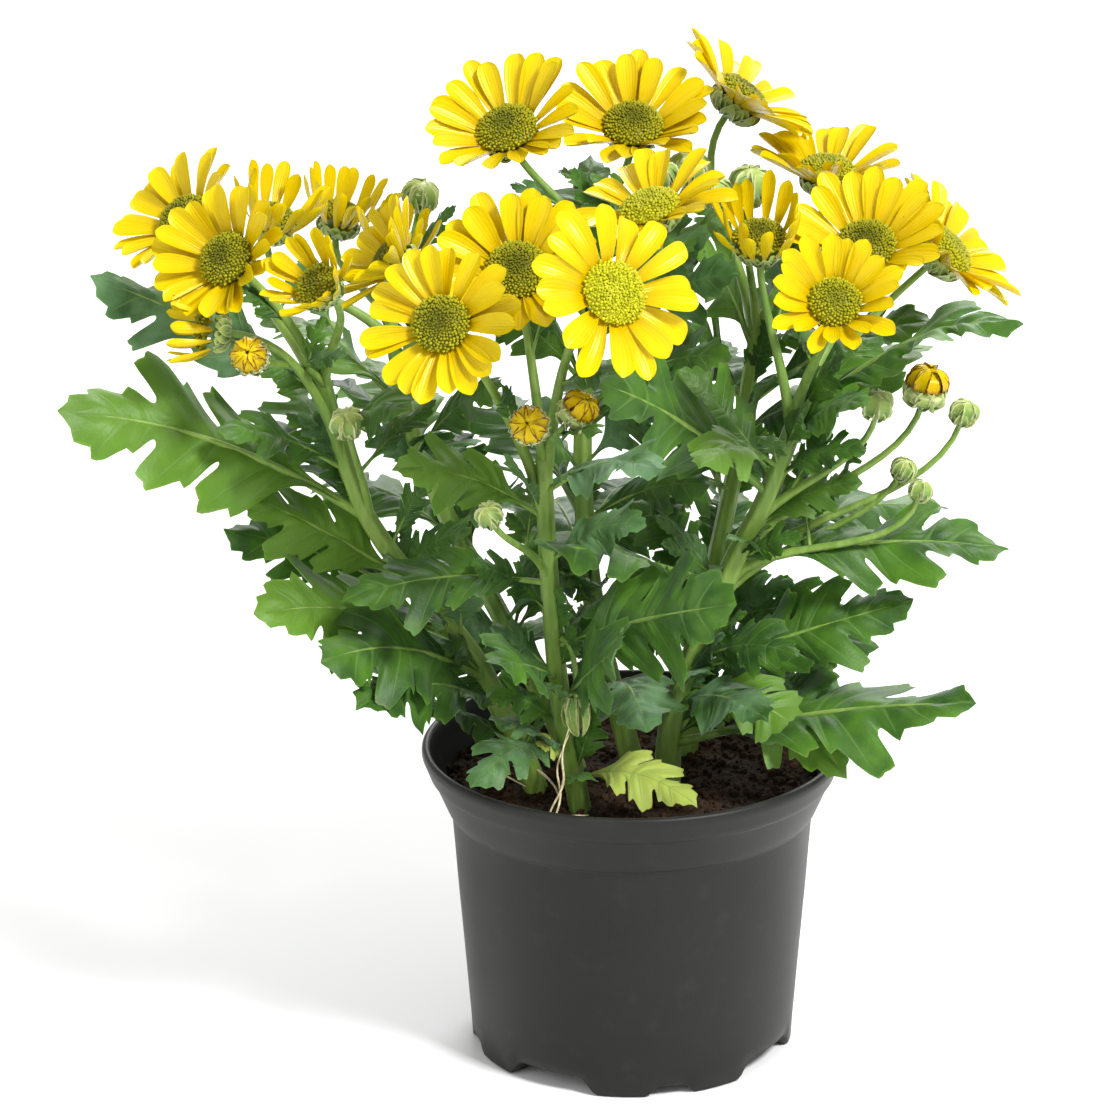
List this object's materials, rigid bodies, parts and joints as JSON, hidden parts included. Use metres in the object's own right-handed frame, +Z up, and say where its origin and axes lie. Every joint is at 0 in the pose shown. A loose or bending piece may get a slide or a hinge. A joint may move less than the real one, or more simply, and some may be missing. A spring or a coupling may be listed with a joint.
{
  "type": "pot chrysanthemum",
  "caption": "Bushy potted plant with yellow daisy-shaped flowers, green lobed leaves and ribbed stems, standing in soil in a round tapered dark grey nursery pot.",
  "frame": {"origin": "centre of the pot's base, on the surface it stands on", "axes": "+Z up along the pot's axis, -Y towards the front of the plant, +X to its right seen from the front"},
  "size_m": [0.2637, 0.2, 0.2818],
  "materials": {
    "pot": "satin moulded plastic",
    "soil": "loose peat",
    "green": "leaf with a faint sheen",
    "petal": "soft petal",
    "disc": "tiny florets"
  },
  "bodies": {
    "root": {"pot": "pot", "soil": "soil", "bloom_01_rays": "petal", "bloom_02_rays": "petal", "bloom_03_rays": "petal", "bloom_04_rays": "petal", "bloom_05_rays": "petal", "bloom_06_rays": "petal", "bloom_07_rays": "petal", "bloom_08_rays": "petal", "bloom_09_rays": "petal", "bloom_10_rays": "petal", "bloom_11_rays": "petal", "bloom_12_rays": "petal", "bloom_13_rays": "petal", "bloom_14_rays": "petal", "bloom_15_rays": "petal", "bloom_16_rays": "petal", "bloom_17_rays": "petal", "bloom_18_rays": "petal", "bloom_19_rays": "petal", "bloom_20_rays": "petal", "bloom_01_disc": "disc", "bloom_02_disc": "disc", "bloom_03_disc": "disc", "bloom_04_disc": "disc", "bloom_05_disc": "disc", "bloom_06_disc": "disc", "bloom_07_disc": "disc", "bloom_08_disc": "disc", "bloom_09_disc": "disc", "bloom_10_disc": "disc", "bloom_11_disc": "disc", "bloom_12_disc": "disc", "bloom_13_disc": "disc", "bloom_14_disc": "disc", "bloom_15_disc": "disc", "bloom_16_disc": "disc", "bloom_17_disc": "disc", "bloom_18_disc": "disc", "bloom_19_disc": "disc", "bloom_20_disc": "disc", "bud_01_rays": "petal", "bud_02_rays": "petal", "bud_03_rays": "petal", "bud_04_rays": "petal", "leafy_stem_left": "green", "leafy_stem_inner": "green", "leafy_stem_front": "green", "leafy_stem_middle": "green", "leafy_stem_right": "green", "leafy_stem_back": "green"}
  },
  "joints": []
}
